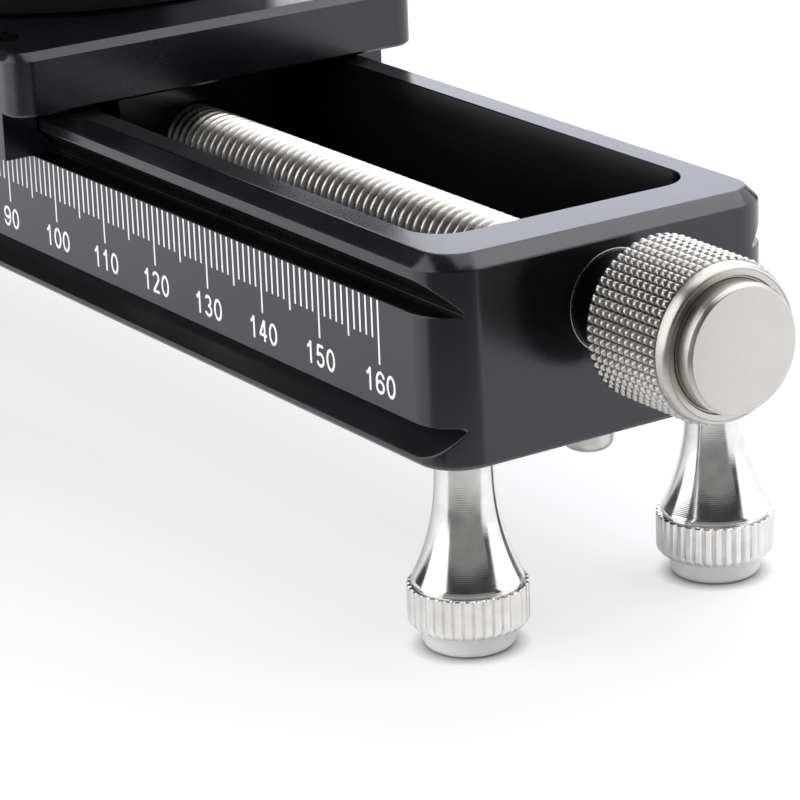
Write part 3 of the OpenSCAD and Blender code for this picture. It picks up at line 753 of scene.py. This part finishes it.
KEPT = {
    BLACK_OXIDE: ["gib_screws", "nut_block_screws", "pan_base_screws"],
    ZINC: ["knob_screws", "carriage_lock_screw", "pan_lock_screw", "pan_retainer", "pan_bolt",
           "clamp_screw_ring", "clamp_washer", "guide_pins", "clamp_screw"],
    BRONZE: ["gib_strip", "lead_nut"],
    LOW_FRICTION: ["slide_pads", "pan_washer"],
}
for material, nodes in KEPT.items():
    for node in nodes:
        for slot in frame["nodes"][node].material_slots:
            slot.material = material


# ---- scale ----

SCALE_MM = 160
INK = 0.015           # how far the print stands out of the face
INK_SINK = 0.005      # and how far it goes in
STROKE = 0.3
STROKE_LIFT = 0.004   # parts the faces of strokes that cross
NUMERAL_H = 2.2
NUMERAL_BASE_Z = 5.43
ADVANCE = 0.8         # from one digit to the next, as a share of NUMERAL_H
DIGIT_GAP = 0.12      # between two digits, as the same share
TICKS = ((10, 6.1), (5, 4.6), (1, 3.75))  # every how many millimetres, and how long
TICK_TOP_Z = 14.36
TICK_WIDTH = 0.25


def ribbon(path, width, closed=False, lift=0):
    """Points and faces of a thin flat stroke on the near side of the frame. path is (x, z)
    points along its middle, and each section is set across the line between its neighbours."""
    path = np.array(path, float)
    if closed:
        run = np.roll(path, -1, 0) - np.roll(path, 1, 0)
    else:
        run = np.gradient(path, axis=0)
    run /= np.linalg.norm(run, axis=1, keepdims=True)
    across = np.stack([-run[:, 1], run[:, 0]], -1) * width / 2
    front, back = NEAR_FACE_Y - INK - lift, NEAR_FACE_Y + INK_SINK
    sides = [(path + across, front), (path - across, front),
             (path - across, back), (path + across, back)]
    rings = np.stack([np.stack([p[:, 0], np.full(len(p), y), p[:, 1]], -1) for p, y in sides], 1)
    return rings_to_faces(rings, hollow=closed)


def arc(x, z, across, up, start, end):
    """Points on an oval about (x, z), from start to end in degrees, in at least six steps of
    about ten degrees or less."""
    count = max(6, round(abs(end - start) / 10))
    angle = np.radians(np.linspace(start, end, count + 1))
    return np.stack([x + across * np.cos(angle), z + up * np.sin(angle)], -1)


def line(*runs):
    """An open stroke through points and runs of points. The second value says that it isn't
    closed."""
    return np.concatenate([np.array(run, float).reshape(-1, 2) for run in runs]), False


def loop(x, z, across, up):
    """A stroke that closes on itself: an oval about (x, z)."""
    return arc(x, z, across, up, 0, 350), True


# Strokes of each numeral, one unit high. The nine is the six turned by half a turn
SIX = [line(arc(0.36, 0.52, 0.29, 0.41, 28, 178), arc(0.33, 0.31, 0.26, 0.245, 180, 200)),
       loop(0.33, 0.31, 0.26, 0.245)]
NUMERALS = {
    "0": [loop(0.33, 0.5, 0.26, 0.435)],
    "1": [line((0.13, 0.70), (0.27, 0.79), (0.37, 0.93)), line((0.385, 0), (0.385, 1))],
    "2": [line(arc(0.32, 0.71, 0.235, 0.225, 168, -30), (0.10, 0.065)),
          line((0.07, 0.065), (0.59, 0.065))],
    "3": [line(arc(0.31, 0.72, 0.2, 0.215, 155, -90)),
          line(arc(0.31, 0.285, 0.25, 0.225, 90, -160))],
    "4": [line((0.44, 0), (0.44, 0.97)), line((0.42, 0.95), (0.07, 0.295)),
          line((0.04, 0.295), (0.62, 0.295))],
    "5": [line((0.57, 0.935), (0.15, 0.935)), line((0.17, 0.96), (0.11, 0.47)),
          line(arc(0.32, 0.325, 0.25, 0.265, 140, -160))],
    "6": SIX,
    "7": [line((0.07, 0.935), (0.60, 0.935)),
          line((0.57, 0.92), (0.42, 0.7), (0.31, 0.42), (0.26, 0.18), (0.245, 0))],
    "8": [loop(0.33, 0.73, 0.205, 0.205), loop(0.33, 0.285, 0.26, 0.22)],
    "9": [(np.array([0.66, 1.0]) - path, closed) for path, closed in SIX],
}


def number(value, x):
    """Strokes of a number, centred under x."""
    text = str(value)
    left = x - (len(text) * ADVANCE - DIGIT_GAP) * NUMERAL_H / 2
    strokes = []
    for place, digit in enumerate(text):
        corner = [left + place * ADVANCE * NUMERAL_H, NUMERAL_BASE_Z]
        for layer, (path, closed) in enumerate(NUMERALS[digit]):
            strokes.append(ribbon(path * NUMERAL_H + corner, STROKE, closed,
                                  layer * STROKE_LIFT))
    return strokes


def tick(value):
    """One line of the scale: longest at each ten, shortest between fives."""
    x = value - SCALE_MM / 2
    length = next(length for every, length in TICKS if value % every == 0)
    return ribbon([(x, TICK_TOP_Z - length), (x, TICK_TOP_Z)], TICK_WIDTH)


scale_parts = [tick(value) for value in range(SCALE_MM + 1)]
for value in range(0, SCALE_MM + 1, 10):
    scale_parts += number(value, value - SCALE_MM / 2)
scale = make_piece("millimetre_scale", scale_parts, MARKING)
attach(scale, "rail")


# ---- camera, floor and light ----

# Found by least squares from the scale's ticks and the frame's edges in the photograph
EYE = Vector((349.64, -192.84, 115.38)) * MM
AIM = Vector((-0.7919, 0.5165, -0.3258)).normalized()
UP = Vector((-0.2515, 0.2102, 0.9447))
FOCAL_PX = 3757.85
IMAGE_PX = 800
SENSOR = 36.0


def place_camera():
    """The photograph's camera. Its shift and depth of field stay off."""
    data = bpy.data.cameras.new("camera")
    data.sensor_width = SENSOR
    data.lens = FOCAL_PX / IMAGE_PX * SENSOR
    data.clip_start = 0.01
    data.clip_end = 20
    camera = bpy.data.objects.new("camera", data)
    right = AIM.cross(UP).normalized()
    camera.matrix_world = Matrix.Translation(EYE) @ Matrix(
        (right, right.cross(AIM), -AIM)).transposed().to_4x4()
    bpy.context.scene.collection.objects.link(camera)
    bpy.context.scene.camera = camera
    bpy.context.scene.view_settings.view_transform = "Standard"


place_camera()


WHITE = linear("#ffffff")
TABLE_HALF = 3.0     # in metres
TABLE_GAP = 0.02     # below the pads
SHELTER_REACH = 40   # how high over the table an object still shades it in gloss
CONTACT_REACH = 2.5  # and how high it still darkens it for the camera
ROOM = 0.05          # light of the dark room

# The studio is dark in front: what metal mirrors there is the table, painted darker and darker
# into it. This painted shade falls off from DARK_FROM on, within a wedge round DARK_SIDE
DARK_ANGLE = math.radians(-41)
DARK_SIDE = (math.cos(DARK_ANGLE), math.sin(DARK_ANGLE), 0)
DARK_FROM = (86 * MM, 0, FLOOR_Z * MM)


def seen(tree, by_camera, in_gloss):
    """A strength for what the camera sees directly or through glass, another for what is seen
    in gloss, and 0 for the light that falls on the object."""
    path = add(tree, "ShaderNodeLightPath").outputs
    direct = add(tree, "ShaderNodeMath", [(0, path["Is Camera Ray"]),
                                          (1, path["Is Transmission Ray"])],
                 operation="MAXIMUM").outputs["Value"]
    shares = [add(tree, "ShaderNodeMath", [(0, kind), (1, strength)],
                  operation="MULTIPLY").outputs["Value"]
              for kind, strength in ((direct, by_camera), (path["Is Glossy Ray"], in_gloss))]
    return add(tree, "ShaderNodeMath", list(enumerate(shares)),
               operation="MAXIMUM").outputs["Value"]


def table_finish():
    """A white table. It is lit as a matt surface, and two painted glows are laid over that: what
    the camera sees of it, and what gloss mirrors of it, each with painted shadow and shade in it."""
    material = bpy.data.materials.new("white_table")
    material.use_nodes = True
    material.cycles.emission_sampling = "NONE"
    tree = material.node_tree
    tree.nodes.remove(tree.nodes["Principled BSDF"])
    matt = add(tree, "ShaderNodeBsdfDiffuse", [("Color", linear("#f2f3f6"))]).outputs["BSDF"]

    # How many metres a place lies from DARK_FROM, and whether it lies in the wedge
    outward = add(tree, "ShaderNodeVectorMath", [
        (0, add(tree, "ShaderNodeTexCoord").outputs["Object"]), (1, DARK_FROM)],
        operation="SUBTRACT").outputs["Vector"]
    distance = add(tree, "ShaderNodeVectorMath", [(0, outward)],
                   operation="LENGTH").outputs["Value"]
    heading = add(tree, "ShaderNodeVectorMath", [(0, outward)], operation="NORMALIZE")
    facing = add(tree, "ShaderNodeVectorMath", [(0, heading.outputs["Vector"]), (1, DARK_SIDE)],
                 operation="DOT_PRODUCT").outputs["Value"]
    wedge = add(tree, "ShaderNodeMapRange", [
        ("Value", facing), ("From Min", 0.51), ("From Max", 0.61)]).outputs["Result"]

    # 1 in the open, and less where something stands within the reach over the table
    open_wide, open_close = (
        add(tree, "ShaderNodeAmbientOcclusion", [("Distance", reach * MM)],
            samples=8).outputs["AO"] for reach in (SHELTER_REACH, CONTACT_REACH))

    # Gloss shows it as a painted glow, bright to the sides and behind, with painted shade darker
    # and darker the further out it lies in the wedge, and a painted shadow under the object
    in_wedge = add(tree, "ShaderNodeMapRange", [
        ("Value", distance), ("From Min", 0.01), ("From Max", 0.12), ("To Min", 1.05),
        ("To Max", 0.2)]).outputs["Result"]
    tone = add(tree, "ShaderNodeMix", [("Factor", wedge), ("A", 1.42), ("B", in_wedge)])
    painted_shadow_under = add(tree, "ShaderNodeMapRange", [
        ("Value", open_wide), ("From Min", 0.2), ("From Max", 0.6), ("To Min", 0.15)])
    # The camera sees a painted glow: white, painted whiter further out where no lamp reaches, and
    # with a painted contact shadow only where a pad touches it
    far_white = add(tree, "ShaderNodeMapRange", [
        ("Value", distance), ("From Min", 0.35), ("From Max", 0.9), ("To Min", 1.1),
        ("To Max", 1.8)])
    painted_contact_shadow = add(tree, "ShaderNodeMapRange", [
        ("Value", open_close), ("From Min", 0.3), ("From Max", 0.8)])
    laid_over = add(tree, "ShaderNodeMixShader", [
        ("Fac", add(tree, "ShaderNodeLightPath").outputs["Is Glossy Ray"])])
    for socket, light, shade in ((1, far_white, painted_contact_shadow), (2, tone, painted_shadow_under)):
        strength = add(tree, "ShaderNodeMath", [
            (0, light.outputs["Result"]), (1, shade.outputs["Result"])], operation="MULTIPLY")
        glow = add(tree, "ShaderNodeEmission", [
            ("Color", WHITE), ("Strength", strength.outputs["Value"])])
        tree.links.new(glow.outputs["Emission"], laid_over.inputs[socket])

    share_in_gloss = add(tree, "ShaderNodeMapRange", [("Value", wedge), ("To Min", 0.25)])
    surface = add(tree, "ShaderNodeMixShader", [
        ("Fac", seen(tree, 0.6, share_in_gloss.outputs["Result"])), (1, matt),
        (2, laid_over.outputs["Shader"])])
    tree.links.new(surface.outputs["Shader"], tree.nodes["Material Output"].inputs["Surface"])
    return material


def table():
    """The table that the object stands on, a flat square about the origin."""
    mesh = bpy.data.meshes.new("table")
    mesh.from_pydata([(x * TABLE_HALF, y * TABLE_HALF, (FLOOR_Z - TABLE_GAP) * MM)
                      for x, y in ((-1, -1), (1, -1), (1, 1), (-1, 1))], [], [[0, 1, 2, 3]])
    mesh.materials.append(table_finish())
    sheet = bpy.data.objects.new("table", mesh)
    bpy.context.scene.collection.objects.link(sheet)


table()


def dark_room():
    """The world: white where the camera looks past the table, and dim in gloss and as light."""
    world = bpy.data.worlds.new("studio")
    bpy.context.scene.world = world
    world.use_nodes = True
    tree = world.node_tree
    sky = tree.nodes["Background"]
    sky.inputs["Color"].default_value = WHITE
    strength = add(tree, "ShaderNodeMath", [(0, seen(tree, 1.0, ROOM)), (1, ROOM)],
                   operation="MAXIMUM")
    tree.links.new(strength.outputs["Value"], sky.inputs["Strength"])


dark_room()


def towards(azimuth, elevation, distance):
    """Point at a distance from the object, by degrees round from +X and up from level."""
    a, e = math.radians(azimuth), math.radians(elevation)
    return Vector((math.cos(a) * math.cos(e), math.sin(a) * math.cos(e), math.sin(e))) * distance


LAMPS_AIM = Vector((40, 0, 0)) * MM


def softbox(name, azimuth, elevation, distance, width, height, radiance, tint="#ffffff",
            in_gloss=True):
    """Flat lamp that faces the object from degrees round and up. Its power is pi x area x
    radiance. Without in_gloss, no surface mirrors it."""
    data = bpy.data.lights.new(name, "AREA")
    data.shape = "RECTANGLE"
    data.size, data.size_y = width, height
    data.energy = math.pi * width * height * radiance
    data.color = linear(tint)[:3]
    lamp = bpy.data.objects.new(name, data)
    place = towards(azimuth, elevation, distance)
    lamp.matrix_world = Matrix.Translation(place + LAMPS_AIM) @ (
        -place).to_track_quat("-Z", "Y").to_matrix().to_4x4()
    lamp.visible_glossy = in_gloss
    bpy.context.scene.collection.objects.link(lamp)


# Degrees round from +X and up, metres away, metres wide and high, radiance and tint
softbox("back_softbox", 143, 26, 0.75, 0.75, 0.6, 2.1, "#f2f5ff")
softbox("overhead_softbox", 100, 70, 0.7, 0.9, 0.8, 1.6)
softbox("left_softbox", -109, 28, 0.6, 0.64, 0.68, 1.6)
softbox("right_softbox", 68, 28, 0.6, 0.95, 0.68, 1.4)
softbox("front_card", -33, 6, 0.9, 2.2, 0.5, 0.2)
softbox("front_fill", -60, 30, 0.9, 1.2, 0.9, 0.9, in_gloss=False)
